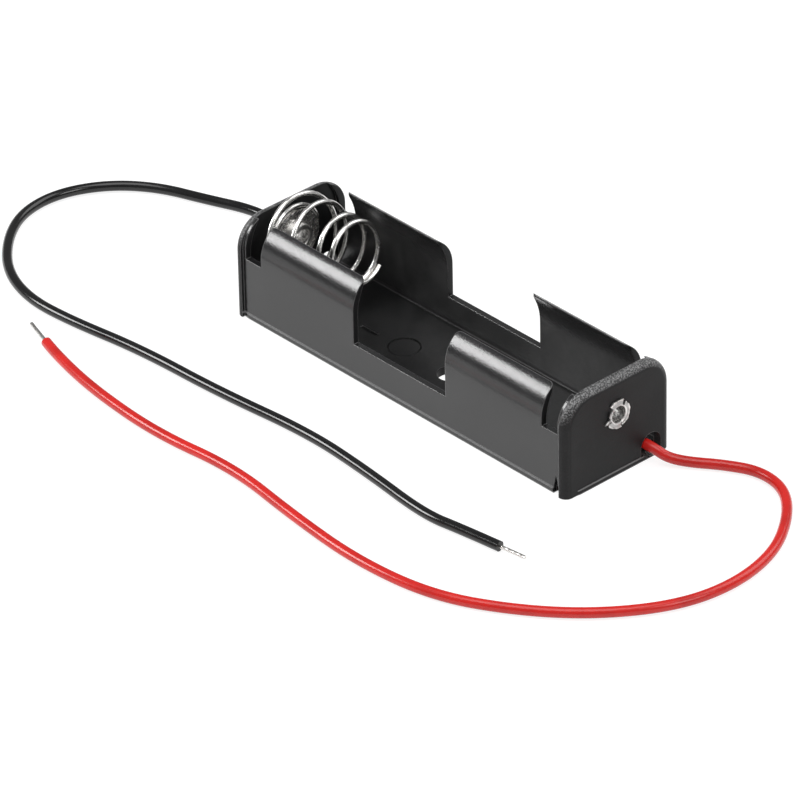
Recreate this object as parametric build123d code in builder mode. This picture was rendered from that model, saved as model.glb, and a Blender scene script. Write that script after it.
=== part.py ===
"""Single cell holder: a moulded tray with clips, a coil spring contact, two riveted plates and two leads."""

import os
from math import acos, atan2, cos, pi, sin, sqrt, tan

from build123d import *

os.makedirs("parts", exist_ok=True)

# The cell and the room it needs, in millimetres
cell_d = 14.3
cell_len = 50.2
cell_clear = 0.1
spring_room = 4.7

# Moulded tray
wall_t = 0.8
floor_t = 1.2
end_t = 1.2
end_rise = 4.7
end_proud = 0.4
arch_r = 4.1
end_edge_r = 1.05
rim_proud = 0.1
rim_h = 0.65
rim_corner_r = 2.2
floor_fillet_r = 0.25

# Clips, windows and notches along the side walls
window_w = 15.9
window_z = 4.75
notch_w = 2.71
notch_drop = 1.0
return_t = 0.5
clip_rise = 0.75
clip_curl_r = 4.45
clip_lip_t = 0.29
clip_corner_r = 0.7

# Floor details
screw_hole_r = 1.75
screw_x = 0.6
screw_y = -0.35
mark_inset = 14.25
mark_y = -0.8
mark_len = 2.8
mark_w = 0.5
mark_depth = 0.15
ejector_step = 5.63
ejector_y = -0.3
ejector_r = 1.97
ejector_depth = 0.1

# Drain pocket low on the front wall and the lead slots in the end walls
pocket_inset = 0.3
pocket_r = 0.53
pocket_z = 0.4
pocket_top = 2.6
pocket_depth = 0.6
slot_inset = 1.95
slot_r = 1.6
slot_low = 0.6
slot_top = 3.3

# Contacts, both on one axis
contact_y = -0.2
plate_r = 3.45
plate_t = 0.4
tongue_w = 2.2
tongue_len = 5.55
eyelet_r = 1.3
eyelet_bore_r = 1.08
eyelet_clear = 0.05
head_r = 1.75
head_h = 0.8
head_edge_r = 0.3
tail_r = 1.86
tail_t = 0.32
petal_splits = (40, 142, 200, 285)
petal_gap = 16
burr_reach = 2.25
burr_angle = 208

# Spring, wound from the wall toward the cell; a station is turn, distance from the base turn, coil radius
wire_d = 0.65
spring_gap = 0.02
spring_stations = (
    (-2.0, 0.0, 3.55),
    (-1.25, 0.0, 3.55),
    (-0.5, 1.65, 5.6),
    (0.0, 1.65, 5.6),
    (1.0, 4.3, 5.45),
    (2.0, 7.5, 4.95),
    (3.0, 10.05, 4.0),
    (3.68, 10.3, 3.9),
)
spring_off_y = -0.45
spring_off_z = -0.1
spring_lean_y = 0.44
spring_lean_z = 0.3
steps_per_turn = 8

# Leads
lead_d = 1.3
core_d = 0.5
lead_clear = 0.02
lead_lift = 0.25
lead_side = 0.15
strip_x = 0.3
tail_gap = 0.02
solder_r = 0.9
solder_h = 0.62
solder_drop = 4.35
red_tip_len = 4.6
black_tip_len = 3.7

# Derived sizes
bore_r = cell_d / 2 + cell_clear
axis_z = floor_t + bore_r
end_h = axis_z + end_rise
half_in = (cell_len + spring_room) / 2
half_out = half_in + end_t
wall_y = bore_r + wall_t
end_y = wall_y + end_proud
rim_x = half_out + rim_proud
rim_y = wall_y + rim_proud
return_x = half_in - return_t
return_arch_r = arch_r - end_proud
clip_far_x = return_x - notch_w
clip_near_x = window_w / 2
clip_curl_z = axis_z + clip_rise
notch_mid_x = (clip_near_x + return_x) / 2
notch_z = clip_curl_z - notch_drop
mark_x = half_in - mark_inset
ejector_x = ejector_step - mark_x
pocket_x = return_x - pocket_inset
slot_y = bore_r - slot_inset
tongue_end_z = axis_z - tongue_len
solder_z = axis_z - solder_drop
lead_floor_z = lead_d / 2 + lead_clear
lead_exit_z = floor_t + lead_d / 2 + lead_lift
lead_exit_y = slot_y - slot_r + lead_d / 2 + lead_side
through = 2 * end_h
curl_y = clip_curl_r - wall_y

# A clip ends where its curl stands the lip's thickness above the bore: two circles meet there
lip_dz = axis_z + clip_lip_t - clip_curl_z
lip_span = sqrt(curl_y**2 + lip_dz**2)
lip_along = (clip_curl_r**2 - bore_r**2 + lip_span**2) / (2 * lip_span)
lip_aside = sqrt(clip_curl_r**2 - lip_along**2)
tip_y = curl_y - (curl_y * lip_along + lip_dz * lip_aside) / lip_span
clip_tip_z = clip_curl_z + (lip_dz * lip_along - curl_y * lip_aside) / lip_span
curl_angle = atan2(clip_tip_z - clip_curl_z, curl_y - tip_y)
tip_low_z = axis_z + sqrt(bore_r**2 - tip_y**2)
bore_angle = acos(-tip_y / bore_r)
contact_axis = Axis((0, contact_y, axis_z), (1, 0, 0))
front_plane = Plane(origin=(0, -wall_y, 0), x_dir=(1, 0, 0), z_dir=(0, -1, 0))
turning_plane = Plane(origin=(0, contact_y, axis_z), x_dir=(1, 0, 0), z_dir=(0, -1, 0))
positive_plate_x = half_in - plate_t
negative_plate_x = -half_in + wire_d + 2 * spring_gap
strip_end = half_in + strip_x

# One clip, front right: a wall that curls in over the cell, its lip corners rounded
with BuildPart() as clip:
    with BuildSketch(Plane.YZ.offset(clip_near_x)):
        with BuildLine():
            Polyline((-bore_r, axis_z), (-bore_r, 0), (-wall_y, 0), (-wall_y, clip_curl_z))
            ThreePointArc(
                (-wall_y, clip_curl_z),
                (curl_y - clip_curl_r * cos(curl_angle / 2), clip_curl_z + clip_curl_r * sin(curl_angle / 2)),
                (tip_y, clip_tip_z),
            )
            Line((tip_y, clip_tip_z), (tip_y, tip_low_z))
            ThreePointArc(
                (tip_y, tip_low_z),
                (-bore_r * cos(bore_angle / 2), axis_z + bore_r * sin(bore_angle / 2)),
                (-bore_r, axis_z),
            )
        make_face()
    extrude(amount=clip_far_x - clip_near_x)
    with BuildSketch(Plane.XY) as clip_plan:
        with Locations(((clip_near_x + clip_far_x) / 2, (tip_y - rim_y) / 2)):
            Rectangle(clip_far_x - clip_near_x, tip_y + rim_y)
        fillet(clip_plan.vertices().group_by(Axis.Y)[-1], clip_corner_r)
    extrude(amount=through, mode=Mode.INTERSECT)

# The tray, moulded in one piece with its four clips
with BuildPart() as tray:
    with BuildSketch(Plane.XY):
        Rectangle(2 * half_out, 2 * wall_y)
    extrude(amount=floor_t)

    # Arched end walls with a rounded outer edge
    with BuildSketch(Plane.YZ.offset(half_in), Plane.YZ.offset(-half_out)) as end_walls:
        with Locations((0, end_h / 2)):
            Rectangle(2 * end_y, end_h)
        fillet(end_walls.vertices().group_by(Axis.Y)[-1], arch_r)
    extrude(amount=end_t)
    for end_face in (tray.faces().sort_by(Axis.X)[-1], tray.faces().sort_by(Axis.X)[0]):
        fillet(end_face.edges().sort_by(Axis.Z)[1:], end_edge_r)

    # Short returns of the side walls along the end walls
    with BuildSketch(Plane.YZ.offset(return_x), Plane.YZ.offset(-half_in)) as returns:
        with Locations((0, end_h / 2)):
            Rectangle(2 * wall_y, end_h)
        fillet(returns.vertices().group_by(Axis.Y)[-1], return_arch_r)
        with Locations((0, (floor_t + axis_z) / 2)):
            Rectangle(2 * bore_r, axis_z - floor_t, mode=Mode.SUBTRACT)
        with Locations((0, axis_z)):
            Circle(bore_r, mode=Mode.SUBTRACT)
    extrude(amount=return_t)

    # Low side walls: window in the middle, a notch beside each end wall
    for wall_plane in (front_plane, front_plane.offset(wall_t - 2 * wall_y)):
        with BuildSketch(wall_plane):
            with Locations((0, window_z / 2)):
                Rectangle(2 * half_in, window_z)
            with Locations((notch_mid_x, notch_z / 2), (-notch_mid_x, notch_z / 2)):
                Rectangle(return_x - clip_near_x, notch_z)
        extrude(amount=-wall_t)

    # The four clips
    add(clip.part)
    mirror(clip.part, about=Plane.XZ)
    mirror(clip.part, about=Plane.YZ)
    add(clip.part.mirror(Plane.XZ).mirror(Plane.YZ))

    # Small fillet where the floor meets the side walls
    floor_lines = tray.edges().filter_by(Axis.X).filter_by_position(Axis.Z, floor_t - 0.01, floor_t + 0.01)
    fillet(floor_lines.filter_by(lambda e: abs(abs(e.center().Y) - bore_r) < 0.01), floor_fillet_r)

    # Low rim round the foot of the walls
    with BuildSketch(Plane.XY):
        RectangleRounded(2 * rim_x, 2 * rim_y, rim_corner_r)
    extrude(amount=rim_h)

    # Screw hole, ejector mark and polarity marks in the floor
    with BuildSketch(Plane.XY):
        with Locations((screw_x, screw_y)):
            Circle(screw_hole_r)
    extrude(amount=floor_t, mode=Mode.SUBTRACT)
    with BuildSketch(Plane.XY.offset(floor_t)):
        with Locations((ejector_x, ejector_y)):
            Circle(ejector_r)
    extrude(amount=-ejector_depth, mode=Mode.SUBTRACT)
    with BuildSketch(Plane.XY.offset(floor_t)):
        with Locations((-mark_x, mark_y), (mark_x, mark_y)):
            Rectangle(mark_len, mark_w)
        with Locations((mark_x, mark_y)):
            Rectangle(mark_w, mark_len)
    extrude(amount=-mark_depth, mode=Mode.SUBTRACT)

    # Drop-shaped blind pocket at the front right corner
    with BuildSketch(front_plane.offset(rim_proud)):
        with Locations((pocket_x, pocket_z)):
            Circle(pocket_r)
        with BuildLine():
            Polyline(
                (pocket_x - pocket_r, pocket_z),
                (pocket_x + pocket_r, pocket_z),
                (pocket_x, pocket_top),
                close=True,
            )
        make_face()
    extrude(amount=-(pocket_depth + rim_proud), mode=Mode.SUBTRACT)

    # Lead slots and eyelet holes through both end walls
    with BuildSketch(Plane.YZ.offset(half_in), Plane.YZ.offset(-half_in - 2 * end_t)):
        with Locations((slot_y, (slot_low + slot_top - slot_r) / 2)):
            Rectangle(2 * slot_r, slot_top - slot_r - slot_low)
        with Locations((slot_y, slot_top - slot_r)):
            Circle(slot_r)
        with Locations((contact_y, axis_z)):
            Circle(eyelet_r + eyelet_clear)
    extrude(amount=2 * end_t, mode=Mode.SUBTRACT)

# Contact plates: a round blank with a solder tongue pointing down
with BuildPart() as positive_plate:
    with BuildSketch(Plane.YZ.offset(positive_plate_x)):
        with Locations((contact_y, axis_z)):
            Circle(plate_r)
        with Locations((contact_y, (tongue_end_z + axis_z) / 2)):
            Rectangle(tongue_w, axis_z - tongue_end_z)
        with Locations((contact_y, axis_z)):
            Circle(eyelet_r + eyelet_clear, mode=Mode.SUBTRACT)
    extrude(amount=plate_t)

with BuildPart() as negative_plate:
    with BuildSketch(Plane.YZ.offset(negative_plate_x)):
        with Locations((contact_y, axis_z)):
            Circle(plate_r)
        with Locations((contact_y, (tongue_end_z + axis_z) / 2)):
            Rectangle(tongue_w, axis_z - tongue_end_z)
        with Locations((contact_y, axis_z)):
            Circle(eyelet_r + eyelet_clear, mode=Mode.SUBTRACT)
    extrude(amount=plate_t)

# Eyelets: a rolled head on the plate, a barrel through the wall, a split flare outside
with BuildPart() as positive_rivet:
    with BuildSketch(turning_plane) as positive_turn:
        with BuildLine():
            Polyline(
                (positive_plate_x - head_h, eyelet_bore_r),
                (positive_plate_x - head_h, head_r),
                (positive_plate_x, head_r),
                (positive_plate_x, eyelet_r),
                (half_out, eyelet_r),
                (half_out, tail_r),
                (half_out + tail_t, tail_r),
                (half_out + tail_t, eyelet_bore_r),
                close=True,
            )
        make_face()
        fillet(positive_turn.vertices().group_by(Axis.X)[0], head_edge_r)
        fillet(positive_turn.vertices().group_by(Axis.X)[-1].sort_by(Axis.Y)[-1], tail_t * 0.6)
    revolve(axis=contact_axis)
    with BuildSketch(Plane.YZ.offset(half_out)):
        for split in petal_splits:
            low = (split - petal_gap / 2) * pi / 180
            high = (split + petal_gap / 2) * pi / 180
            root = split * pi / 180
            with Locations((contact_y, axis_z)):
                Polygon(
                    (eyelet_r * cos(root), eyelet_r * sin(root)),
                    (2 * tail_r * cos(low), 2 * tail_r * sin(low)),
                    (2 * tail_r * cos(high), 2 * tail_r * sin(high)),
                    align=None,
                )
    extrude(amount=tail_t, mode=Mode.SUBTRACT)
    with BuildSketch(Plane.YZ.offset(half_out)):
        with Locations((contact_y, axis_z)):
            burr = burr_angle * pi / 180
            side = 6 * pi / 180
            Polygon(
                (1.5 * cos(burr - side), 1.5 * sin(burr - side)),
                (burr_reach * cos(burr), burr_reach * sin(burr)),
                (1.5 * cos(burr + 2 * side), 1.5 * sin(burr + 2 * side)),
                align=None,
            )
    extrude(amount=tail_t / 2)

with BuildPart() as negative_rivet:
    with BuildSketch(turning_plane) as negative_turn:
        with BuildLine():
            Polyline(
                (negative_plate_x + plate_t + head_h, eyelet_bore_r),
                (negative_plate_x + plate_t + head_h, head_r),
                (negative_plate_x + plate_t, head_r),
                (negative_plate_x + plate_t, eyelet_r),
                (-half_out, eyelet_r),
                (-half_out, tail_r),
                (-half_out - tail_t, tail_r),
                (-half_out - tail_t, eyelet_bore_r),
                close=True,
            )
        make_face()
        fillet(negative_turn.vertices().group_by(Axis.X)[-1], head_edge_r)
        fillet(negative_turn.vertices().group_by(Axis.X)[0].sort_by(Axis.Y)[-1], tail_t * 0.6)
    revolve(axis=contact_axis)
    with BuildSketch(Plane.YZ.offset(-half_out - tail_t)):
        for split in petal_splits:
            low = (split - petal_gap / 2) * pi / 180
            high = (split + petal_gap / 2) * pi / 180
            root = split * pi / 180
            with Locations((contact_y, axis_z)):
                Polygon(
                    (eyelet_r * cos(root), eyelet_r * sin(root)),
                    (2 * tail_r * cos(low), 2 * tail_r * sin(low)),
                    (2 * tail_r * cos(high), 2 * tail_r * sin(high)),
                    align=None,
                )
    extrude(amount=tail_t, mode=Mode.SUBTRACT)


# Spring: a base turn behind the plate, then open coils that narrow toward the cell, the last one closed
def at_turn(turn, column):
    """Reads a column of the spring's stations at a turn, in straight steps."""
    for low, high in zip(spring_stations, spring_stations[1:]):
        if turn <= high[0]:
            break
    return low[column] + (high[column] - low[column]) * (turn - low[0]) / (high[0] - low[0])


spring_base_x = -half_in + wire_d / 2 + spring_gap
first_turn = spring_stations[0][0]
last_turn = spring_stations[-1][0]
spring_points = []
for step in range(int((last_turn - first_turn) * steps_per_turn) + 1):
    turn = first_turn + step / steps_per_turn
    coil_r = at_turn(turn, 2)
    seated = min(max((turn + 1.25) / 0.75, 0), 1)
    leaned = max(turn, 0)
    spring_points.append(
        (
            spring_base_x + at_turn(turn, 1),
            contact_y + spring_off_y * seated + spring_lean_y * leaned - coil_r * sin(2 * pi * turn),
            axis_z + spring_off_z * seated + spring_lean_z * leaned + coil_r * cos(2 * pi * turn),
        )
    )

with BuildPart() as negative_spring:
    with BuildLine() as spring_line:
        Spline(*spring_points)
    with BuildSketch(Plane(origin=spring_line.line @ 0, z_dir=spring_line.line % 0)):
        Circle(wire_d / 2)
    sweep(path=spring_line.line)


# Leads: routes over the floor, from the slot in the end wall to the stripped tip
def bend_radii(points):
    """Gives each bend of a route the radius that its shorter run has room for."""
    radii = []
    for before, here, after in zip(points, points[1:], points[2:]):
        into = Vector(*here) - Vector(*before)
        out = Vector(*after) - Vector(*here)
        half_turn = into.get_angle(out) * pi / 360
        radii.append(0.45 * min(into.length, out.length) / tan(half_turn))
    return radii


# Places on the table, measured outward from the outer face of the end wall
red_plan = (
    (4.65, 6.9), (7.85, 9.4), (11.85, 11.5), (16.75, 11.0), (21.45, 7.3), (25.45, 1.2), (26.85, -6.4),
    (25.25, -14.2), (19.95, -22.2), (12.95, -28.4), (4.25, -33.2), (-6.95, -34.6), (-19.05, -33.6),
    (-31.05, -31.9), (-43.05, -33.4), (-54.85, -32.6), (-63.65, -30.9), (-67.45, -29.7),
)
red_points = [
    (strip_end, lead_exit_y, lead_exit_z),
    (half_out + 1.0, lead_exit_y + 0.25, lead_exit_z - 0.2),
    (half_out + 2.6, lead_exit_y + 0.9, lead_exit_z - 1.05),
    *((half_out + out, y, lead_floor_z) for out, y in red_plan),
]
black_plan = (
    (9.85, 8.4), (15.55, 8.4), (21.45, 5.9), (27.95, 3.5), (32.85, -0.7), (35.55, -6.6), (34.95, -12.7),
    (31.35, -18.0), (25.85, -22.6), (19.25, -24.8), (12.05, -24.5), (0.85, -22.7), (-12.55, -22.2),
    (-26.65, -20.6), (-37.65, -21.3), (-48.55, -22.6), (-54.05, -21.6), (-59.45, -20.9),
)
black_points = [
    (-strip_end, lead_exit_y, lead_exit_z),
    (-half_out - 1.4, lead_exit_y + 0.3, lead_exit_z - 0.15),
    (-half_out - 5.0, lead_exit_y + 1.6, lead_exit_z - 1.1),
    *((-half_out - out, y, lead_floor_z) for out, y in black_plan),
]
red_radii = bend_radii(red_points)
black_radii = bend_radii(black_points)

with BuildPart() as red_lead:
    with BuildLine() as red_route:
        FilletPolyline(*red_points, radius=red_radii)
    with BuildSketch(Plane(origin=red_route.line @ 0, z_dir=red_route.line % 0)):
        Circle(lead_d / 2)
    sweep(path=red_route.line)

with BuildPart() as black_lead:
    with BuildLine() as black_route:
        FilletPolyline(*black_points, radius=black_radii)
    with BuildSketch(Plane(origin=black_route.line @ 0, z_dir=black_route.line % 0)):
        Circle(lead_d / 2)
    sweep(path=black_route.line)

# Stripped tips run straight on from the end of the insulation
with BuildPart() as red_tip:
    with BuildSketch(Plane(origin=red_route.line @ 1, z_dir=red_route.line % 1)):
        Circle(core_d / 2)
    extrude(amount=red_tip_len)

with BuildPart() as black_tip:
    with BuildSketch(Plane(origin=black_route.line @ 1, z_dir=black_route.line % 1)):
        Circle(core_d / 2)
    extrude(amount=black_tip_len)

# Stripped tails inside: off the end of the insulation and across to the solder on the tongue
red_tail_x = positive_plate_x - core_d / 2 - tail_gap
red_tail_points = (
    red_points[0],
    (red_tail_x, lead_exit_y - (strip_end - red_tail_x) * 0.12, lead_exit_z),
    (red_tail_x, contact_y, solder_z),
)
with BuildPart() as red_tail:
    with BuildLine() as red_tail_line:
        FilletPolyline(*red_tail_points, radius=bend_radii(red_tail_points))
    with BuildSketch(Plane(origin=red_tail_line.line @ 0, z_dir=red_tail_line.line % 0)):
        Circle(core_d / 2)
    sweep(path=red_tail_line.line)

black_tail_x = negative_plate_x + plate_t + core_d / 2 + tail_gap
black_tail_points = (
    black_points[0],
    (black_tail_x, lead_exit_y - (strip_end + black_tail_x) * 0.08, lead_exit_z),
    (black_tail_x, contact_y, solder_z),
)
with BuildPart() as black_tail:
    with BuildLine() as black_tail_line:
        FilletPolyline(*black_tail_points, radius=bend_radii(black_tail_points))
    with BuildSketch(Plane(origin=black_tail_line.line @ 0, z_dir=black_tail_line.line % 0)):
        Circle(core_d / 2)
    sweep(path=black_tail_line.line)

# Solder domes on the tongues, set round the ends of the tails
solder_plane = Plane(origin=(0, contact_y, solder_z), x_dir=(1, 0, 0), z_dir=(0, -1, 0))
solder_axis = Axis((0, contact_y, solder_z), (1, 0, 0))
negative_face_x = negative_plate_x + plate_t
with BuildPart() as positive_solder:
    with BuildSketch(solder_plane):
        with BuildLine():
            Polyline((positive_plate_x - solder_h, 0), (positive_plate_x, 0), (positive_plate_x, solder_r))
            ThreePointArc(
                (positive_plate_x, solder_r),
                (positive_plate_x - solder_h * 0.8, solder_r * 0.55),
                (positive_plate_x - solder_h, 0),
            )
        make_face()
    revolve(axis=solder_axis)
    add(red_tail.part, mode=Mode.SUBTRACT)

with BuildPart() as negative_solder:
    with BuildSketch(solder_plane):
        with BuildLine():
            Polyline((negative_face_x + solder_h, 0), (negative_face_x, 0), (negative_face_x, solder_r))
            ThreePointArc(
                (negative_face_x, solder_r),
                (negative_face_x + solder_h * 0.8, solder_r * 0.55),
                (negative_face_x + solder_h, 0),
            )
        make_face()
    revolve(axis=solder_axis)
    add(black_tail.part, mode=Mode.SUBTRACT)

# Bend radii and lead volumes, to compare with section times length
print("red bends", [round(radius, 1) for radius in red_radii])
print("black bends", [round(radius, 1) for radius in black_radii])
for lead, route in ((red_lead, red_route), (black_lead, black_route)):
    length = route.wires()[0].length
    section = pi * lead_d**2 / 4
    print("lead length", round(length, 1), "volume", lead.part.volume, "section x length", section * length)

# Each piece goes out under its own name
pieces = {
    "tray": tray,
    "negative_spring": negative_spring,
    "negative_rivet": negative_rivet,
    "negative_plate": negative_plate,
    "negative_solder": negative_solder,
    "positive_rivet": positive_rivet,
    "positive_plate": positive_plate,
    "positive_solder": positive_solder,
    "red_lead": red_lead,
    "red_tip": red_tip,
    "red_tail": red_tail,
    "black_lead": black_lead,
    "black_tip": black_tip,
    "black_tail": black_tail,
}
for name, piece in pieces.items():
    piece.part.label = name
    export_step(piece.part, f"parts/{name}.step")
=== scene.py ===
"""Looks of the cell holder: finishes, eyelets, spring, leads, studio and camera.

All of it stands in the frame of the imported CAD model, in metres. Classes that say so keep their own sizes in
millimetres.
"""

import logging
import math
from dataclasses import dataclass, field
from enum import Enum

import bmesh
import bpy
from mathutils import Matrix, Vector


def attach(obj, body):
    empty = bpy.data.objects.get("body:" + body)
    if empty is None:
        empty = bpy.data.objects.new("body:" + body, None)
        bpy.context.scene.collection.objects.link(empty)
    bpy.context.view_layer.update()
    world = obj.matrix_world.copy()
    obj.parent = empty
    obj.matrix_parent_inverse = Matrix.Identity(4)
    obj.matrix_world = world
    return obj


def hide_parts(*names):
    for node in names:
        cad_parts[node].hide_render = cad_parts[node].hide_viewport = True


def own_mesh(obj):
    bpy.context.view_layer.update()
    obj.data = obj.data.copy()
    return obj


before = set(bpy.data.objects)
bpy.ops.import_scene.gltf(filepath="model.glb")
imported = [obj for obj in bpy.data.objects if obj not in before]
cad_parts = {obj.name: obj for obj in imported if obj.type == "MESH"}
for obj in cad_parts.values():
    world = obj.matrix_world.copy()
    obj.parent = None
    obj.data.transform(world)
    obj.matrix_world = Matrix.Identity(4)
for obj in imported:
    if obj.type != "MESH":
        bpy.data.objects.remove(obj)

LOG = logging.getLogger("cell_holder")
HOLDER = "holder"
MM = 0.001
WHITE = (1.0, 1.0, 1.0, 1.0)
EDGE_SAMPLES = 6
Number = float | int
Pair = tuple[float, float]
Triple = tuple[float, float, float]


class Slot(Enum):
    """The record's material slots."""

    MOULDING = "black_plastic"
    WIRE = "spring_wire"
    EYELET = "plated_rivet"
    PLATE = "plated_sheet"
    SOLDER = "solder"
    STRANDS = "tinned_copper"
    RED_COVER = "red_insulation"
    BLACK_COVER = "black_insulation"


class Station(Enum):
    """Columns of the spring's stations."""

    TURN = 0
    AWAY = 1
    RADIUS = 2


@dataclass(frozen=True)
class Grain:
    """A noise texture: features per metre and octaves of finer noise."""

    scale: float
    detail: float


@dataclass(frozen=True)
class Relief:
    """A bump: share of the effect and depth of its full height in metres."""

    strength: float
    depth: float


class Sock:
    """A shader socket that takes part in Python arithmetic."""

    def __init__(self, graph: "Graph", socket: bpy.types.NodeSocket) -> None:
        """Keeps the graph and the output socket."""
        self.graph = graph
        self.socket = socket

    def __add__(self, other: "Sock | Number") -> "Sock":
        """Adds a value."""
        return self.graph.maths("ADD", self, other)

    def __radd__(self, other: Number) -> "Sock":
        """Adds to a number."""
        return self.graph.maths("ADD", other, self)

    def __sub__(self, other: "Sock | Number") -> "Sock":
        """Takes a value away."""
        return self.graph.maths("SUBTRACT", self, other)

    def __rsub__(self, other: Number) -> "Sock":
        """Takes this value from a number."""
        return self.graph.maths("SUBTRACT", other, self)

    def __mul__(self, other: "Sock | Number") -> "Sock":
        """Multiplies by a value."""
        return self.graph.maths("MULTIPLY", self, other)

    def __rmul__(self, other: Number) -> "Sock":
        """Multiplies a number."""
        return self.graph.maths("MULTIPLY", other, self)

    def __abs__(self) -> "Sock":
        """Drops the sign."""
        return self.graph.maths("ABSOLUTE", self, 0.0)

    def root(self) -> "Sock":
        """Takes the square root."""
        return self.graph.maths("SQRT", self, 0.0)

    def wave(self) -> "Sock":
        """Takes the sine of an angle in radians, moved to lie from 0 to 1."""
        return self.graph.maths("SINE", self, 0.0) * 0.5 + 0.5

    def most(self, other: "Sock") -> "Sock":
        """Gives the larger of two values."""
        return self.graph.maths("MAXIMUM", self, other)

    def swing(self, amount: float, middle: float = 0.5) -> "Sock":
        """Spreads a noise by an amount on both sides of 0, from its middle value."""
        return (self - middle) * amount

    def step(self, low: float, high: float) -> "Sock":
        """Rises smoothly from 0 at low to 1 at high.

        Args:
            low: Value at and below which the result is 0.
            high: Value at and above which the result is 1.

        Returns:
            The eased value.
        """
        node = self.graph.node(
            "ShaderNodeMapRange",
            {"interpolation_type": "SMOOTHSTEP"},
            {"Value": self, "From Min": low, "From Max": high},
        )
        return self.graph.out(node, "Result")

    def below(self, low: float, high: float) -> "Sock":
        """Falls smoothly from 1 at low to 0 at high."""
        return 1 - self.step(low, high)


class Graph:
    """The node tree of one material."""

    def __init__(self, name: str) -> None:
        """Starts an empty material.

        Args:
            name: Name of the material.
        """
        self.material = bpy.data.materials.new(name)
        self.material.use_nodes = True
        self.tree = self.material.node_tree
        self.tree.nodes.clear()

    def node(self, kind: str, settings: dict[str, object], inputs: dict[str | int, object]) -> bpy.types.Node:
        """Adds one node.

        Args:
            kind: Blender's type name of the node.
            settings: Properties of the node, set before its sockets.
            inputs: Values or links of its input sockets, by name or place.

        Returns:
            The new node.
        """
        made = self.tree.nodes.new(kind)
        for key, value in settings.items():
            setattr(made, key, value)
        for key, value in inputs.items():
            if isinstance(value, Sock):
                self.tree.links.new(value.socket, made.inputs[key])
            else:
                made.inputs[key].default_value = value
        return made

    def out(self, node: bpy.types.Node, name: str | int = 0) -> Sock:
        """Wraps one output of a node."""
        return Sock(self, node.outputs[name])

    def maths(self, operation: str, first: Sock | Number, second: Sock | Number) -> Sock:
        """Adds a Math node on two values."""
        return self.out(self.node("ShaderNodeMath", {"operation": operation}, {0: first, 1: second}))

    def place(self) -> Sock:
        """Gives the place on the piece, in metres."""
        return self.out(self.node("ShaderNodeTexCoord", {}, {}), "Object")

    def parts(self, vector: Sock) -> tuple[Sock, Sock, Sock]:
        """Splits a vector into its three values."""
        node = self.node("ShaderNodeSeparateXYZ", {}, {0: vector})
        return self.out(node, 0), self.out(node, 1), self.out(node, 2)

    def facing(self) -> Sock:
        """Gives the surface direction."""
        return self.out(self.node("ShaderNodeNewGeometry", {}, {}), "Normal")

    def noise(self, grain: Grain) -> Sock:
        """Adds a noise texture over the piece, from 0 to 1."""
        inputs = {"Vector": self.place(), "Scale": grain.scale, "Detail": grain.detail}
        return self.out(self.node("ShaderNodeTexNoise", {}, inputs))

    def blend(self, share: Sock, first: Sock | Triple, second: Triple) -> Sock:
        """Mixes a colour, fixed or varying, with a fixed one.

        Args:
            share: Share of the second colour.
            first: Colour where the share is 0.
            second: Colour where the share is 1.

        Returns:
            The mixed colour.
        """
        start = first if isinstance(first, Sock) else (*first, 1.0)
        node = self.node("ShaderNodeMix", {"data_type": "RGBA"}, {0: share, 6: start, 7: (*second, 1.0)})
        return self.out(node, 2)

    def bump(self, height: Sock, relief: Relief, under: Sock | None = None) -> Sock:
        """Turns a height into a surface direction.

        Args:
            height: Height from 0 to 1.
            relief: Strength and depth of the bump.
            under: Surface direction to start from.

        Returns:
            The changed surface direction.
        """
        inputs = {"Strength": relief.strength, "Distance": relief.depth, "Height": height}
        if under is not None:
            inputs["Normal"] = under
        return self.out(self.node("ShaderNodeBump", {}, inputs))

    def soft_edges(self, radius: float) -> Sock:
        """Gives a surface direction that rounds sharp edges by a radius in metres."""
        return self.out(self.node("ShaderNodeBevel", {"samples": EDGE_SAMPLES}, {"Radius": radius}))

    def along_edges(self, edges: Sock, spread: Pair) -> Sock:
        """Marks sharp edges, where the rounded surface direction leaves the true one.

        Args:
            edges: Surface direction with rounded edges.
            spread: How far the two directions part where the mark begins and where it is full.

        Returns:
            1 along the edges and 0 elsewhere.
        """
        node = self.node("ShaderNodeVectorMath", {"operation": "DOT_PRODUCT"}, {0: self.facing(), 1: edges})
        return (1 - self.out(node, "Value")).step(*spread)

    def surface(self, inputs: dict[str | int, object]) -> Sock:
        """Adds the main shader with its values and links."""
        return self.out(self.node("ShaderNodeBsdfPrincipled", {}, inputs))

    def mixed(self, share: Sock, first: Sock, second: Sock) -> Sock:
        """Mixes two shaders by a share."""
        return self.out(self.node("ShaderNodeMixShader", {}, {0: share, 1: first, 2: second}))

    def glow(self, strength: float) -> Sock:
        """Adds a white light of that strength."""
        return self.out(self.node("ShaderNodeEmission", {}, {"Color": WHITE, "Strength": strength}))

    def matt(self, level: float) -> Sock:
        """Adds a matt grey of that level."""
        return self.out(self.node("ShaderNodeBsdfDiffuse", {}, {"Color": (level, level, level, 1.0)}))

    def metal(self, colour: Sock, rough: Sock, normal: Sock) -> bpy.types.Material:
        """Closes the tree with a bare metal.

        Args:
            colour: Colour of the metal.
            rough: Its roughness.
            normal: Its surface direction.

        Returns:
            The finished material.
        """
        inputs = {"Base Color": colour, "Metallic": 1.0, "Roughness": rough, "Normal": normal}
        return self.close(self.surface(inputs))

    def close(self, shader: Sock) -> bpy.types.Material:
        """Links a shader to the output and hands the material over."""
        self.node("ShaderNodeOutputMaterial", {}, {"Surface": shader})
        return self.material


@dataclass
class MouldingZones:
    """Masks of the moulding's areas, each from 0 to 1, and how far a surface faces up."""

    floor: Sock
    corner: Sock
    inner: Sock
    rim: Sock
    foot: Sock
    face: Sock
    band: Sock
    upward: Sock


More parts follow.
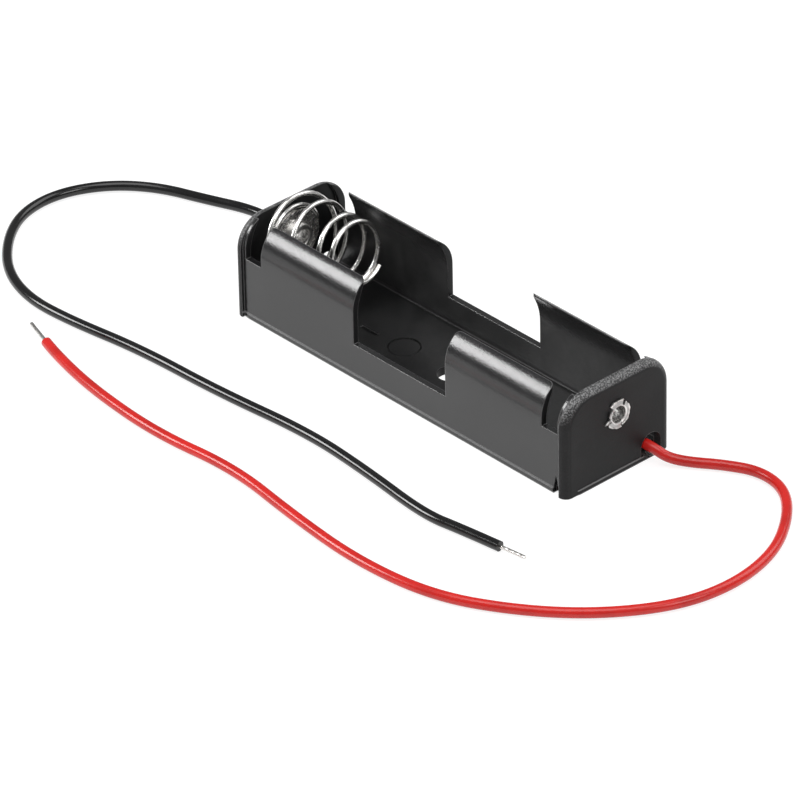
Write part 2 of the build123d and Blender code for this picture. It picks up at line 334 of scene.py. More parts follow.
@dataclass(frozen=True)
class MouldedPlastic:
    """Black satin moulding, duller on its end faces, with spark grain on the end walls' rounded edge, painted
    shade in the grooves, a painted reflection on the walls' inner faces, painted highlights along sharp edges
    and on the rim and foot, and painted glints where the spark grain faces up.

    A pair holds the two values between which a mask fades.
    """

    name: str = "black_moulding"
    colour: Triple = (0.012, 0.012, 0.0125)
    worn_colour: Triple = (0.019, 0.019, 0.0195)
    # painted shade darkening the recessed grooves
    groove_shade_colour: Triple = (0.002, 0.002, 0.002)
    # painted reflection on the walls' inner faces
    inner_reflection_colour: Triple = (0.048, 0.048, 0.0485)
    # painted glints on the spark grain where the band faces up
    spark_glint_colour: Triple = (0.22, 0.22, 0.222)
    # painted highlight along sharp edges
    edge_highlight_colour: Triple = (0.2, 0.2, 0.202)
    # painted highlight on the rim's top and along the foot
    rim_highlight_colour: Triple = (0.22, 0.22, 0.222)
    roughness: float = 0.21
    dull_roughness: float = 0.42
    dull_specular: float = 0.12
    index: float = 1.58
    # How far a surface faces up or endways
    level: Pair = (0.9, 0.98)
    endways: Pair = (0.9, 0.995)
    rounded: Pair = (0.9, 0.99)
    # upward share at which the spark grain carries painted glints
    skyward: Pair = (0.1, 0.7)
    steep: Pair = (0.15, 0.6)
    # Places of the areas
    inner_reach: Pair = (2.16 * MM, 5.04 * MM)
    floor_z: Pair = (1.4 * MM, 1.5 * MM)
    corner_z: Pair = (1.6 * MM, 1.8 * MM)
    corner_y: Pair = (7.6 * MM, 7.7 * MM)
    end_x: Pair = (27.5 * MM, 27.55 * MM)
    rim_x: Pair = (28.66 * MM, 28.68 * MM)
    rim_y: Pair = (7.95 * MM, 7.97 * MM)
    rim_z: float = 0.65 * MM
    rim_half: Pair = (0.08 * MM, 0.2 * MM)
    foot_z: Pair = (0.05 * MM, 0.15 * MM)
    edge_radius: float = 0.22 * MM
    edge_spread: Pair = (0.04, 0.24)
    # Lines of the ejector mark and the polarity marks
    ejector: Pair = (-7.57 * MM, -0.3 * MM)
    ejector_radius: float = 1.97 * MM
    ejector_line: Pair = (0.05 * MM, 0.15 * MM)
    marks: tuple[Pair, ...] = ((-13.2 * MM, -0.8 * MM), (13.2 * MM, -0.8 * MM))
    mark_x: Pair = (1.3 * MM, 1.4 * MM)
    mark_y: Pair = (0.1 * MM, 0.2 * MM)
    groove_low: Pair = (0.8 * MM, 0.9 * MM)
    groove_top: Pair = (1.3 * MM, 1.35 * MM)
    # Flow marks, spark grain and pores
    flow: Grain = Grain(160.0, 3.0)
    sparks: Grain = Grain(5600.0, 4.0)
    pores: Grain = Grain(4800.0, 2.0)
    # Flow marks, spark grain and pores, and where they carry the painted reflection and painted glints
    flow_worn: Pair = (0.4, 0.75)
    flow_reflection: Pair = (0.35, 0.65)
    spark_lit: Pair = (0.44, 0.62)
    relief: Relief = Relief(0.8, 0.12 * MM)
    spark_height: float = 0.8
    pore_height: float = 0.18
    flow_rough: float = 0.05
    pore_rough: float = 0.16
    band_rough: float = 0.16
    dull_pore_rough: float = 0.1
    # Shares of colours, of the painted reflection and highlights, and of the dull finish
    flow_wear: float = 0.6
    band_wear: float = 0.4
    least_reflection: float = 0.6
    edge_highlight_share: float = 0.8
    rim_highlight_share: float = 0.9
    floor_dull: float = 0.75
    band_dull: float = 0.95
    rim_dull: float = 0.9
    corner_dull: float = 0.9

    def grooves(self, graph: Graph) -> Sock:
        """Marks the steps of the ejector mark and the polarity marks in the bay's floor.

        Args:
            graph: Node tree to add to.

        Returns:
            1 in the lines and 0 elsewhere.
        """
        x, y, z = graph.parts(graph.place())
        across, along = x - self.ejector[0], y - self.ejector[1]
        away = (across * across + along * along).root()
        lines = abs(away - self.ejector_radius).below(*self.ejector_line)
        for middle_x, middle_y in self.marks:
            bar = abs(x - middle_x).below(*self.mark_x) * abs(y - middle_y).below(*self.mark_y)
            lines = lines.most(bar)
        return lines * z.below(*self.groove_top) * z.step(*self.groove_low)

    def zones(self, graph: Graph) -> MouldingZones:
        """Marks the areas of the moulding by their place and direction.

        Args:
            graph: Node tree to add to.

        Returns:
            The masks.
        """
        x, y, z = graph.parts(graph.place())
        across, along, upward = graph.parts(graph.facing())
        level = upward.step(*self.level)
        outer = abs(x).step(*self.end_x)
        proud = (abs(y).step(*self.rim_y) * (1 - outer)).most(abs(x).step(*self.rim_x))
        return MouldingZones(
            floor=level * z.below(*self.floor_z),
            corner=z.below(*self.corner_z) * (1 - level) * abs(y).below(*self.corner_y),
            inner=(0 - along * y).step(*self.inner_reach),
            rim=proud * abs(z - self.rim_z).below(*self.rim_half),
            foot=proud * z.below(*self.foot_z),
            face=abs(across).step(*self.endways),
            band=outer * abs(across).below(*self.rounded),
            upward=upward,
        )

    def tint(self, graph: Graph, zones: MouldingZones, flow: Sock, sparks: Sock, edges: Sock) -> Sock:
        """Colours the moulding, with the painted reflection on the inner faces and the painted highlights and
        glints.

        Args:
            graph: Node tree to add to.
            zones: Masks of the areas.
            flow: Noise of the flow marks.
            sparks: Noise of the spark grain.
            edges: Surface direction with rounded edges.

        Returns:
            The colour.
        """
        share = flow.step(*self.flow_worn) * self.flow_wear + zones.band * self.band_wear
        colour = graph.blend(share, self.colour, self.worn_colour)
        # Painted reflection: the walls' inner faces lighter, in blotches along the flow marks.
        share = self.least_reflection + flow.step(*self.flow_reflection) * (1 - self.least_reflection)
        colour = graph.blend(zones.inner * share, colour, self.inner_reflection_colour)
        # Painted highlight along sharp edges, except on the bay floor.
        highlit_edges = graph.along_edges(edges, self.edge_spread) * (1 - zones.floor)
        colour = graph.blend(highlit_edges * self.edge_highlight_share, colour, self.edge_highlight_colour)
        # Painted highlight on the rim's top and along the foot.
        colour = graph.blend(zones.rim.most(zones.foot) * self.rim_highlight_share, colour, self.rim_highlight_colour)
        # Painted glints: spark grain lighter where the rounded band faces up.
        lit = sparks.step(*self.spark_lit) * zones.upward.step(*self.skyward)
        return graph.blend(zones.band * lit, colour, self.spark_glint_colour)

    def material(self) -> bpy.types.Material:
        """Builds the node tree.

        Returns:
            The finished material.
        """
        graph = Graph(self.name)
        zones = self.zones(graph)
        grooves = self.grooves(graph)
        flow, sparks, pores = graph.noise(self.flow), graph.noise(self.sparks), graph.noise(self.pores)
        edges = graph.soft_edges(self.edge_radius)
        colour = self.tint(graph, zones, flow, sparks, edges)
        rough = self.roughness + flow.swing(self.flow_rough) + pores.swing(self.pore_rough)
        height = sparks * zones.band * self.spark_height + pores * self.pore_height
        normal = graph.bump(height, self.relief, edges)
        satin = graph.surface(
            {
                "Base Color": colour,
                "Roughness": rough + zones.band * self.band_rough,
                "Normal": normal,
                "IOR": self.index,
            }
        )
        dull = graph.surface(
            {
                # Painted shade in the grooves of the ejector mark and the polarity marks.
                "Base Color": graph.blend(grooves, colour, self.groove_shade_colour),
                "Roughness": self.dull_roughness + pores.swing(self.dull_pore_rough),
                "Normal": normal,
                "IOR": self.index,
                "Specular IOR Level": self.dull_specular,
            }
        )
        share = zones.face + zones.band * zones.upward.below(*self.steep) * self.band_dull
        share = share.most(zones.floor * self.floor_dull).most(zones.rim * self.rim_dull)
        share = share.most(zones.corner * self.corner_dull).most(grooves)
        return graph.close(graph.mixed(share, satin, dull))


@dataclass(frozen=True)
class PlatedMetal:
    """Bright nickel or solder, with fine scratches, stains and small dents."""

    name: str
    colour: Triple
    dull_colour: Triple
    roughness: float
    stains: Grain = Grain(700.0, 4.0)
    scratches: Grain = Grain(3000.0, 3.0)
    relief: Relief = Relief(0.4, 0.03 * MM)
    edge_radius: float = 0.06 * MM
    stained: Pair = (0.4, 0.75)
    stain_middle: float = 0.4
    stain_rough: float = 0.16
    scratch_rough: float = 0.1
    stain_height: float = 0.7
    scratch_height: float = 0.3

    def material(self) -> bpy.types.Material:
        """Builds the node tree.

        Returns:
            The finished material.
        """
        graph = Graph(self.name)
        stains, scratches = graph.noise(self.stains), graph.noise(self.scratches)
        colour = graph.blend(stains.step(*self.stained), self.colour, self.dull_colour)
        rough = self.roughness + stains.swing(self.stain_rough, self.stain_middle)
        height = scratches * self.scratch_height + stains * self.stain_height
        normal = graph.bump(height, self.relief, graph.soft_edges(self.edge_radius))
        return graph.metal(colour, rough + scratches.swing(self.scratch_rough), normal)


@dataclass(frozen=True)
class EyeletPlate:
    """Nickel on the eyelets, grey, with painted highlights along the rims, the lip and in the bore, and
    painted shade in the creases down the bore.
    """

    name: str = "eyelet_plate"
    # painted highlight along the rims, the lip and in the bore
    highlight_colour: Triple = (0.8, 0.79, 0.77)
    grey: Triple = (0.4, 0.395, 0.39)
    # painted shade in the creases of the bore
    crease_shade: Triple = (0.2, 0.195, 0.19)
    roughness: float = 0.32
    bore_roughness: float = 0.4
    axis_y: float = -0.2 * MM
    axis_z: float = 8.45 * MM
    bore: Pair = (1.09 * MM, 1.11 * MM)
    lip: float = 1.18 * MM
    lip_half: Pair = (0.04 * MM, 0.14 * MM)
    rim: Pair = (1.62 * MM, 1.74 * MM)
    uneven: float = 0.3 * MM
    dents: Grain = Grain(1500.0, 3.0)
    creases: Grain = Grain(3400.0, 3.0)
    dented: Pair = (0.5, 0.7)
    creased: Pair = (0.44, 0.56)
    relief: Relief = Relief(0.6, 0.08 * MM)
    edge_radius: float = 0.08 * MM
    # Shares of the painted highlight, of dents lighter at random, and of the painted shade in the creases
    highlight_share: float = 0.9
    bore_highlight: float = 0.9
    dent_shine: float = 0.3
    crease_shade_share: float = 0.9
    crease_height: float = 3.0
    dent_rough: float = 0.2

    def material(self) -> bpy.types.Material:
        """Builds the node tree.

        Returns:
            The finished material.
        """
        graph = Graph(self.name)
        _, y, z = graph.parts(graph.place())
        across, up = y - self.axis_y, z - self.axis_z
        dents, creases = graph.noise(self.dents), graph.noise(self.creases)
        away = (across * across + up * up).root()
        wavy = away + dents.swing(self.uneven)
        inside = away.below(*self.bore)
        lip = abs(wavy - self.lip).below(*self.lip_half) * (1 - inside)
        # Painted highlight along the rims, the lip and in the bore; dents lighter at random.
        highlight = wavy.step(*self.rim).most(lip).most(inside * self.bore_highlight)
        share = highlight * self.highlight_share + dents.step(*self.dented) * self.dent_shine
        colour = graph.blend(share, self.grey, self.highlight_colour)
        # Painted shade in the creases down the bore.
        share = inside * creases.below(*self.creased) * self.crease_shade_share
        colour = graph.blend(share, colour, self.crease_shade)
        rough = self.roughness + dents.swing(self.dent_rough)
        rough = rough + inside * (self.bore_roughness - self.roughness)
        height = dents + inside * creases * self.crease_height
        normal = graph.bump(height, self.relief, graph.soft_edges(self.edge_radius))
        return graph.metal(colour, rough, normal)


@dataclass(frozen=True)
class Insulation:
    """Smooth flexible lead covering, slightly uneven along its length."""

    name: str
    colour: Triple
    shade: Triple
    roughness: float
    index: float = 1.5
    drift: Grain = Grain(260.0, 3.0)
    fine: Grain = Grain(2600.0, 2.0)
    shaded: Pair = (0.35, 0.75)
    relief: Relief = Relief(0.2, 0.05 * MM)
    drift_rough: float = 0.1
    fine_rough: float = 0.08
    drift_height: float = 0.6
    fine_height: float = 0.4

    def material(self) -> bpy.types.Material:
        """Builds the node tree.

        Returns:
            The finished material.
        """
        graph = Graph(self.name)
        drift, fine = graph.noise(self.drift), graph.noise(self.fine)
        inputs = {
            "Base Color": graph.blend(drift.step(*self.shaded), self.colour, self.shade),
            "Roughness": self.roughness + drift.swing(self.drift_rough) + fine.swing(self.fine_rough),
            "Normal": graph.bump(fine * self.fine_height + drift * self.drift_height, self.relief),
            "IOR": self.index,
        }
        return graph.close(graph.surface(inputs))


@dataclass(frozen=True)
class TinnedStrands:
    """Twisted copper strands under a skin of tin, with painted shade in the gaps between strands and random
    blots.
    """

    name: str = "tinned_strands"
    colour: Triple = (0.86, 0.85, 0.83)
    # painted shade between the strands, also the colour of the random blots
    gap_shade_and_blot: Triple = (0.5, 0.48, 0.45)
    roughness: float = 0.24
    lay: Triple = (0.7, 0.9, 1.6)
    lay_pitch: float = 9000.0
    blots: Grain = Grain(1800.0, 3.0)
    relief: Relief = Relief(0.35, 0.06 * MM)
    gap_shade_share: float = 0.5
    blot_share: float = 0.2
    blot_rough: float = 0.2
    lay_height: float = 0.7
    blot_height: float = 0.3

    def material(self) -> bpy.types.Material:
        """Builds the node tree.

        Returns:
            The finished material.
        """
        graph = Graph(self.name)
        x, y, z = graph.parts(graph.place())
        strands = ((x * self.lay[0] + y * self.lay[1] + z * self.lay[2]) * self.lay_pitch).wave()
        blots = graph.noise(self.blots)
        # Painted shade in the gaps between strands, and random blots.
        share = (1 - strands) * self.gap_shade_share + blots * self.blot_share
        colour = graph.blend(share, self.colour, self.gap_shade_and_blot)
        rough = self.roughness + blots.swing(self.blot_rough)
        height = strands * self.lay_height + blots * self.blot_height
        return graph.metal(colour, rough, graph.bump(height, self.relief))


def paint(piece: bpy.types.Object, material: bpy.types.Material) -> None:
    """Gives a piece one material all over.

    Args:
        piece: Mesh or curve to paint.
        material: Finish to use.
    """
    piece.data.materials.clear()
    piece.data.materials.append(material)


def add(name: str, data: bpy.types.ID) -> bpy.types.Object:
    """Puts new data into the scene.

    Args:
        name: Name of the object.
        data: Mesh, curve, lamp or camera.

    Returns:
        The new object.
    """
    made = bpy.data.objects.new(name, data)
    bpy.context.scene.collection.objects.link(made)
    return made


def smooth(mesh: bpy.types.Mesh) -> None:
    """Shades every face of a mesh smoothly."""
    mesh.polygons.foreach_set("use_smooth", [True] * len(mesh.polygons))


def soften(
    node: bpy.types.Object,
    angle: float = 32.0,
    merge: float = 0.0002 * MM,
    weight: int = 100,
) -> None:
    """Shades the curved faces of a CAD piece smoothly and keeps its sharp edges.

    Args:
        node: CAD piece to shade.
        angle: Angle between faces, in degrees, above which an edge stays sharp.
        merge: Distance within which the corners of neighbouring faces are one.
        weight: How much large faces lead over small ones.
    """
    weld = node.modifiers.new("join_faces", "WELD")
    weld.merge_threshold = merge
    split = node.modifiers.new("keep_edges", "EDGE_SPLIT")
    split.split_angle = math.radians(angle)
    flat = node.modifiers.new("flat_faces", "WEIGHTED_NORMAL")
    flat.mode = "FACE_AREA"
    flat.weight = weight
    smooth(node.data)


@dataclass
class HolderTray:
    """The black moulding with its clips."""

    node: str = "tray"
    finish: MouldedPlastic = MouldedPlastic()

    def dress(self) -> None:
        """Paints and shades the moulding."""
        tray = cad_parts[self.node]
        soften(tray)
        paint(tray, self.finish.material())
        LOG.info("tray dressed")


@dataclass
class Eyelet:
    """A hollow rivet: rolled head inside, barrel through the wall, split flare outside.

    Sizes are in millimetres and angles in degrees. A profile point is a distance along the contact axis and
    one out from it. Each petal of the flare has its first angle, its last and its reach.
    """

    name: str
    node: str
    side: int
    plate_x: float
    wall_x: float = 28.65
    axis_y: float = -0.2
    axis_z: float = 8.45
    bore: float = 1.08
    bore_edge: float = 0.14
    barrel: float = 1.3
    flare: float = 0.3
    head: float = 1.75
    head_high: float = 0.8
    head_corner: float = 0.3
    corner_middle: float = 0.09
    segments: int = 60
    petals: tuple[Triple, ...] = (
        (64.0, 131.0, 1.9),
        (150.0, 186.0, 1.45),
        (190.0, 204.0, 2.3),
        (208.0, 283.0, 1.88),
        (288.0, 408.0, 1.8),
    )
    # Height over the wall, with the distance from the barrel's skin and then with the share of the reach
    petal_root: tuple[Pair, ...] = ((0.3, -0.18), (0.4, -0.06))
    petal_section: tuple[Pair, ...] = (
        (0.34, 0.25),
        (0.27, 0.7),
        (0.36, 0.92),
        (0.26, 1.0),
        (0.05, 0.95),
        (0.02, 0.0),
    )
    petal_angle: float = 3.0
    least_steps: int = 4
    petal_waves: tuple[Pair, ...] = ((0.05, 7.0), (0.03, 17.0))
    burr_angle: float = 20.0
    burr_foot: float = 0.15
    sharp_angle: float = 40.0

    def spot(self, x: float, radius: float, angle: float) -> Vector:
        """Places a profile point at an angle round the contact axis.

        Args:
            x: Distance along the axis.
            radius: Distance out from the axis.
            angle: Angle round the axis.

        Returns:
            The place, in metres.
        """
        turn = math.radians(angle)
        over, up = radius * math.cos(turn), radius * math.sin(turn)
        return Vector((self.side * x, self.axis_y + over, self.axis_z + up)) * MM

    def barrel_loop(self) -> list[Pair]:
        """Lists the profile of the barrel and the head.

        Returns:
            The profile's points, in order.
        """
        end = self.plate_x - self.head_high
        return [
            (self.wall_x + self.flare, self.bore),
            (end + self.bore_edge, self.bore),
            (end, self.bore + self.bore_edge),
            (end, self.head - self.head_corner),
            (end + self.corner_middle, self.head - self.corner_middle),
            (end + self.head_corner, self.head),
            (self.plate_x, self.head),
            (self.plate_x, self.barrel),
            (self.wall_x, self.barrel),
            (self.wall_x + self.flare, self.bore + self.bore_edge),
        ]

    def petal_loop(self, reach: float) -> list[Pair]:
        """Lists a petal's section.

        Args:
            reach: Distance out from the axis at the petal's tip.

        Returns:
            The section's points, in order.
        """
        root =[(high, self.barrel + out) for high, out in self.petal_root]
        blade = [(high, self.barrel + (reach - self.barrel) * share) for high, share in self.petal_section]
        return [(self.wall_x + high, radius) for high, radius in root + blade]

    def petal_reach(self, petal: Triple, angle: float) -> float:
        """Gives a petal's uneven reach at an angle, pointed where it is only a burr.

        Args:
            petal: First angle, last angle and reach of the petal.
            angle: Angle to read.

        Returns:
            The distance out from the contact axis.
        """
        first, last, reach = petal
        if last - first < self.burr_angle:
            from_middle = abs(2 * (angle - first) / (last - first) - 1)
            return reach - (reach - self.barrel - self.burr_foot) * from_middle
        return reach + sum(high * math.sin(math.radians(angle * count)) for high, count in self.petal_waves)

    def build(self) -> bpy.types.Object:
        """Makes the rivet's mesh.

        Returns:
            The rivet piece.
        """
        shape = bmesh.new()
        whole = [360.0 * step / self.segments for step in range(self.segments)]
        rows = [[shape.verts.new(self.spot(x, r, angle)) for x, r in self.barrel_loop()] for angle in whole]
        self.skin(shape, rows + rows[:1])
        for petal in self.petals:
            first, last, _ = petal
            count = max(int((last - first) / self.petal_angle), self.least_steps)
            rows = []
            for step in range(count + 1):
                angle = first + (last - first) * step / count
                section = self.petal_loop(self.petal_reach(petal, angle))
                rows.append([shape.verts.new(self.spot(x, r, angle)) for x, r in section])
            self.skin(shape, rows)
            shape.faces.new(rows[0])
            shape.faces.new(rows[-1])
        bmesh.ops.recalc_face_normals(shape, faces=shape.faces)
        mesh = bpy.data.meshes.new(self.name)
        shape.to_mesh(mesh)
        shape.free()
        smooth(mesh)
        mesh.set_sharp_from_angle(angle=math.radians(self.sharp_angle))
        return add(self.name, mesh)

    @staticmethod
    def skin(shape: bmesh.types.BMesh, rows: list[list[bmesh.types.BMVert]]) -> None:
        """Joins rows of closed loops with faces.

        Args:
            shape: Mesh to add to.
            rows: Loops of corners, in order.
        """
        for row, after in zip(rows, rows[1:]):
            for place in range(len(row)):
                following = (place + 1) % len(row)
                shape.faces.new((row[place], row[following], after[following], after[place]))

    def dress(self, piece: bpy.types.Object, finish: bpy.types.Material) -> None:
        """Paints the rivet and puts it in the place of the CAD piece.

        Args:
            piece: The rivet mesh.
            finish: Nickel finish.
        """
        paint(piece, finish)
        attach(piece, HOLDER)
        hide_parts(self.node)
        LOG.info("%s built", self.name)


@dataclass
class Contacts:
    """The plates and solder at both ends."""

    plates: tuple[str, ...] = ("negative_plate", "positive_plate")
    plate_finish: PlatedMetal = PlatedMetal(
        "contact_plate",
        (0.95, 0.94, 0.92),
        (0.4, 0.39, 0.38),
        0.24,
        stains=Grain(900.0, 4.0),
        relief=Relief(0.4, 0.7 * MM),
    )
    solders: tuple[str, ...] = ("negative_solder", "positive_solder")
    solder_finish: PlatedMetal = PlatedMetal("solder", (0.7, 0.7, 0.7), (0.5, 0.5, 0.5), 0.28)

    def dress(self) -> None:
        """Paints and shades each metal piece."""
        for names, finish, slot in (
            (self.plates, self.plate_finish.material(), Slot.PLATE),
            (self.solders, self.solder_finish.material(), Slot.SOLDER),
        ):
            for name in names:
                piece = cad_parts[name]
                soften(piece)
                paint(piece, finish)
                LOG.info("%s dressed", name)


@dataclass
class CoilSpring:
    """The coil spring: a base turn at the wall, open coils that narrow, a closed end.

    Sizes are in millimetres. A station holds a turn, the distance from the base turn and the radius there.
    """

    wall_x: float = -27.45
    wire: float = 0.65
    base_gap: float = 0.02
    stations: tuple[Triple, ...] = (
        (-2.0, 0.0, 3.55),
        (-1.25, 0.0, 3.55),
        (-0.5, 1.9, 5.05),
        (0.0, 1.45, 6.0),
        (1.0, 4.1, 5.15),
        (2.0, 7.9, 4.4),
        (3.0, 9.9, 3.9),
        (3.64, 9.75, 4.3),
    )
    axis_y: float = -0.2
    axis_z: float = 8.45
    off_y: float = -0.25
    off_z: float = -0.2
    lean_y: float = 0.5
    lean_z: float = 0.35
    tilt: float = 0.7
    travel: float = 7.8
    steps: int = 40
    easing: tuple[float, ...] = (-0.12, -0.06, 0.0, 0.06, 0.12)
    roundness: int = 4
    sharp_angle: float = 50.0
    finish: PlatedMetal = PlatedMetal("spring_wire", (0.94, 0.93, 0.91), (0.8, 0.79, 0.77), 0.22)

    def at_turn(self, turn: float, column: Station) -> float:
        """Reads a column of the stations at a turn, in straight steps.

        Args:
            turn: Turns along the wire.
            column: Column to read.

        Returns:
            The value there.
        """
        for low, high in zip(self.stations, self.stations[1:]):
            if turn <= high[Station.TURN.value]:
                break
        first, last = low[Station.TURN.value], high[Station.TURN.value]
        share = min(max((turn - first) / (last - first), 0.0), 1.0)
        return low[column.value] + (high[column.value] - low[column.value]) * share

    def eased(self, turn: float, column: Station) -> float:
        """Rounds the corners between the straight steps of a column."""
        return sum(self.at_turn(turn + shift, column) for shift in self.easing) / len(self.easing)

    def line(self) -> list[Vector]:
        """Works out the wire's centre line.

        Returns:
            Points along the wire, in metres.
        """
        base = self.wall_x + self.wire / 2 + self.base_gap
        first, leaves, free, *_, last = (station[Station.TURN.value] for station in self.stations)
        points = []
        for step in range(int((last - first) * self.steps) + 1):
            turn = first + step / self.steps
            over, up = -math.sin(math.tau * turn), math.cos(math.tau * turn)
            radius = self.eased(turn, Station.RADIUS)
            seated = min(max((turn - leaves) / (free - leaves), 0.0), 1.0)
            leaned = max(turn, 0.0)
            x = base + self.eased(turn, Station.AWAY) - self.tilt * seated * up
            y = self.axis_y + self.off_y * seated + self.lean_y * leaned + radius * over
            z = self.axis_z + self.off_z * seated + self.lean_z * leaned + radius * up
            points.append(Vector((x, y, z)) * MM)
        return points

    def build(self) -> bpy.types.Object:
        """Makes the wire as a mesh.

        Returns:
            The spring piece.
        """
        curve = bpy.data.curves.new("spring_line", "CURVE")
        curve.dimensions = "3D"
        curve.bevel_depth = self.wire / 2 * MM
        curve.bevel_resolution = self.roundness
        curve.use_fill_caps = True
        points = self.line()
        spline = curve.splines.new("POLY")
        spline.points.add(len(points) - 1)
        for target, point in zip(spline.points, points):
            target.co = (*point, 1.0)
        shape = add("spring_line", curve)
        bpy.context.view_layer.update()
        mesh = bpy.data.meshes.new_from_object(shape.evaluated_get(bpy.context.evaluated_depsgraph_get()))
        bpy.data.objects.remove(shape)
        smooth(mesh)
        mesh.set_sharp_from_angle(angle=math.radians(self.sharp_angle))
        return add("coil_spring", mesh)

    def dress(self, piece: bpy.types.Object) -> None:
        """Paints the wire, ties it to the holder and hides the CAD spring.

        Args:
            piece: The spring mesh.
        """
        paint(piece, self.finish.material())
        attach(piece, HOLDER)
        high = max(point.x for point in self.line()) / MM + self.wire / 2
        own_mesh(piece)
        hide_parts("negative_spring")
        LOG.info("spring built, %d faces", len(piece.data.polygons))


@dataclass
class Lead:
    """One insulated lead with its stripped ends. Sizes are in millimetres."""

    name: str
    finish: Insulation
    slot: Slot
    start: tuple[Triple, ...]
    route: tuple[Pair, ...]
    length: float
    diameter: float = 1.3
    floor_z: float = 0.67
    roundness: int = 6
    smoothness: int = 16
    order: int = 3

    def build(self) -> bpy.types.Object:
        """Makes the covering as a curve along the route.

        Returns:
            The lead piece.
        """
        points = [*self.start, *((x, y, self.floor_z) for x, y in self.route)]
        curve = bpy.data.curves.new(f"{self.name}_cover", "CURVE")
        curve.dimensions = "3D"
        curve.bevel_depth = self.diameter / 2 * MM
        curve.bevel_resolution = self.roundness
        curve.resolution_u = self.smoothness
        curve.use_fill_caps = True
        spline = curve.splines.new("NURBS")
        spline.points.add(len(points) - 1)
        for target, point in zip(spline.points, points):
            target.co = (*(Vector(point) * MM), 1.0)
        spline.order_u = self.order
        spline.use_endpoint_u = True
        return add(f"{self.name}_cover", curve)

    def dress(self, piece: bpy.types.Object, strands: bpy.types.Material) -> None:
        """Paints the lead and its stripped ends, ties it to the holder and hides the CAD lead.

        Args:
            piece: The covering.
            strands: Finish of the stripped ends.
        """
        paint(piece, self.finish.material())
        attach(piece, HOLDER)
        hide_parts(f"{self.name}_lead")
        for end in ("tip", "tail"):
            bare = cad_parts[f"{self.name}_{end}"]
            soften(bare)
            paint(bare, strands)
        LOG.info("%s lead built", self.name)


RED_LEAD = Lead(
    name="red",
    finish=Insulation("red_cover", (0.63, 0.018, 0.014), (0.5, 0.012, 0.009), 0.24),
    slot=Slot.RED_COVER,
    start=((27.75, 4.5, 2.1), (29.65, 4.75, 1.9), (31.25, 5.4, 1.05)),
    route=(
        (33.3, 6.9), (36.5, 9.4), (40.5, 11.5), (45.2, 10.8), (49.6, 6.8), (53.5, 0.6), (54.9, -7.0),
        (53.5, -14.6), (48.5, -22.3), (41.6, -28.4), (32.9, -33.2), (21.7, -34.6), (9.6, -33.6),
        (-2.4, -31.9), (-14.4, -33.4), (-26.2, -32.6), (-35.0, -30.9), (-38.8, -29.7),
    ),
    length=149.2,
)
BLACK_LEAD = Lead(
    name="black",
    finish=Insulation("black_cover", (0.006, 0.006, 0.0065), (0.009, 0.009, 0.0095), 0.16),
    slot=Slot.BLACK_COVER,
    start=((-27.75, 4.5, 2.1), (-30.05, 4.8, 1.95), (-33.65, 6.1, 1.0)),
    route=(
        (-38.5, 8.4), (-44.2, 8.4), (-50.1, 5.9), (-56.6, 3.5), (-61.5, -0.7), (-64.2, -6.6), (-63.6, -12.7),
        (-60.0, -18.0), (-54.5, -22.6), (-47.9, -24.8), (-40.7, -24.5), (-29.5, -22.7), (-16.1, -22.2),
        (-2.0, -20.6), (9.0, -21.3), (19.9, -22.6), (25.4, -21.6), (30.8, -20.9),
    ),
    length=148.6,
)


def bearing(azimuth: float, elevation: float) -> Vector:
    """Gives the direction from the holder toward a place in the studio.

    Args:
        azimuth: Degrees from the front toward the positive end.
        elevation: Degrees above the floor.

    Returns:
        A direction of length 1.
    """
    around, up = math.radians(azimuth), math.radians(elevation)
    return Vector((math.sin(around) * math.cos(up), -math.cos(around) * math.cos(up), math.sin(up)))


@dataclass
class Softbox:
    """A square studio lamp aimed at the holder."""

    name: str
    azimuth: float
    elevation: float
    distance: float
    side: float
    power: float

    def build(self) -> None:
        """Adds the lamp."""
        lamp = bpy.data.lights.new(self.name, "AREA")
        lamp.shape = "SQUARE"
        lamp.size = self.side
        lamp.energy = self.power
        away = bearing(self.azimuth, self.elevation)
        holder = add(self.name, lamp)
        holder.location = away * self.distance
        holder.rotation_mode = "QUATERNION"
        holder.rotation_quaternion = away.to_track_quat("Z", "Y")


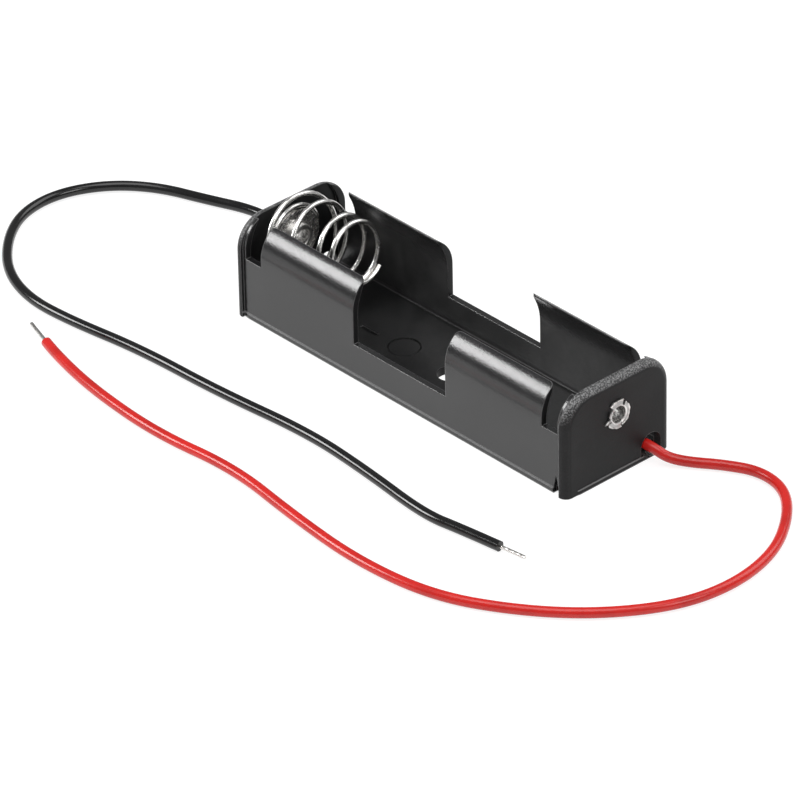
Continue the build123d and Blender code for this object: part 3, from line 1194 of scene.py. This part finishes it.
@dataclass
class Studio:
    """Floor, lamps, world and the camera that stands where the photograph was taken."""

    azimuth: float = 47.936
    elevation: float = 32.657
    distance: float = 0.861096
    roll: float = -1.152
    shift_right: float = -5.950 * MM
    shift_up: float = -2.398 * MM
    focal_pixels: float = 7268.078
    picture: int = 800
    sensor: float = 36.0
    clip: Pair = (0.01, 100.0)
    floor_side: float = 12.0
    floor_gap: float = 0.05 * MM
    floor_level: float = 0.9
    shadow_level: float = 0.3
    floor_glow: float = 0.82
    world_level: float = 0.25
    lamps: tuple[Softbox, ...] = field(
        default_factory=lambda: (
            Softbox("key", -46.5, 31.0, 0.9, 0.32, 4.5),
            Softbox("top", 20.0, 80.0, 1.1, 0.8, 5.5),
            Softbox("back", 165.0, 45.0, 1.0, 0.7, 3.5),
            Softbox("side", 95.0, 38.0, 1.0, 0.4, 2.0),
        )
    )

    def floor_finish(self) -> bpy.types.Material:
        """Makes the floor show white, keep a soft shadow and be clear from below.

        Returns:
            The finished material.
        """
        graph = Graph("studio_floor")
        path = graph.node("ShaderNodeLightPath", {}, {})
        seen = graph.out(path, "Is Camera Ray")
        for ray in ("Is Glossy Ray", "Is Transmission Ray"):
            seen = seen.most(graph.out(path, ray))
        lit = {0: graph.matt(self.shadow_level), 1: graph.glow(self.floor_glow)}
        shown = graph.out(graph.node("ShaderNodeAddShader", {}, lit))
        upper = graph.mixed(seen, graph.matt(self.floor_level), shown)
        below = graph.out(graph.node("ShaderNodeNewGeometry", {}, {}), "Backfacing")
        clear = graph.out(graph.node("ShaderNodeBsdfTransparent", {}, {}))
        return graph.close(graph.mixed(below, upper, clear))

    def build_floor(self) -> None:
        """Lays the pale floor just under the holder."""
        half, low = self.floor_side / 2, -self.floor_gap
        mesh = bpy.data.meshes.new("floor")
        corners = [(-half, -half, low), (half, -half, low), (half, half, low), (-half, half, low)]
        mesh.from_pydata(corners, [], [(0, 1, 2, 3)])
        floor = add("floor", mesh)
        paint(floor, self.floor_finish())

    def build_world(self) -> None:
        """Sets the even light from all round."""
        world = bpy.data.worlds.new("studio")
        bpy.context.scene.world = world
        world.use_nodes = True
        back = world.node_tree.nodes["Background"]
        back.inputs["Color"].default_value = WHITE
        back.inputs["Strength"].default_value = self.world_level

    def build_camera(self) -> None:
        """Stands the camera at the photograph's place and angle."""
        around, tilt = math.radians(self.azimuth), math.radians(self.roll)
        back = bearing(self.azimuth, self.elevation)
        right = Vector((math.cos(around), math.sin(around), 0.0))
        above = back.cross(right)
        rolled_right = right * math.cos(tilt) + above * math.sin(tilt)
        rolled_up = above * math.cos(tilt) - right * math.sin(tilt)
        target = right * self.shift_right + above * self.shift_up
        data = bpy.data.cameras.new("camera")
        data.sensor_width = self.sensor
        data.lens = self.focal_pixels / self.picture * self.sensor
        data.clip_start, data.clip_end = self.clip
        camera = add("camera", data)
        turn = Matrix((rolled_right, rolled_up, back)).transposed().to_4x4()
        camera.matrix_world = Matrix.Translation(target + back * self.distance) @ turn
        bpy.context.scene.camera = camera

    def build(self) -> None:
        """Sets up the whole studio."""
        self.build_floor()
        self.build_world()
        for lamp in self.lamps:
            lamp.build()
        self.build_camera()
        bpy.context.scene.view_settings.view_transform = "Standard"
        LOG.info("studio ready")


def main() -> None:
    """Builds every piece in order."""
    logging.basicConfig(level=logging.INFO, format="%(name)s: %(message)s")
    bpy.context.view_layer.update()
    HolderTray().dress()
    Contacts().dress()
    nickel = EyeletPlate().material()
    for eyelet in (
        Eyelet("positive_eyelet", "positive_rivet", side=1, plate_x=27.05),
        Eyelet("negative_eyelet", "negative_rivet", side=-1, plate_x=26.36),
    ):
        eyelet.dress(eyelet.build(), nickel)
    spring = CoilSpring()
    spring.dress(spring.build())
    strands = TinnedStrands().material()
    for lead in (RED_LEAD, BLACK_LEAD):
        lead.dress(lead.build(), strands)
    Studio().build()


if __name__ == "__main__":
    main()
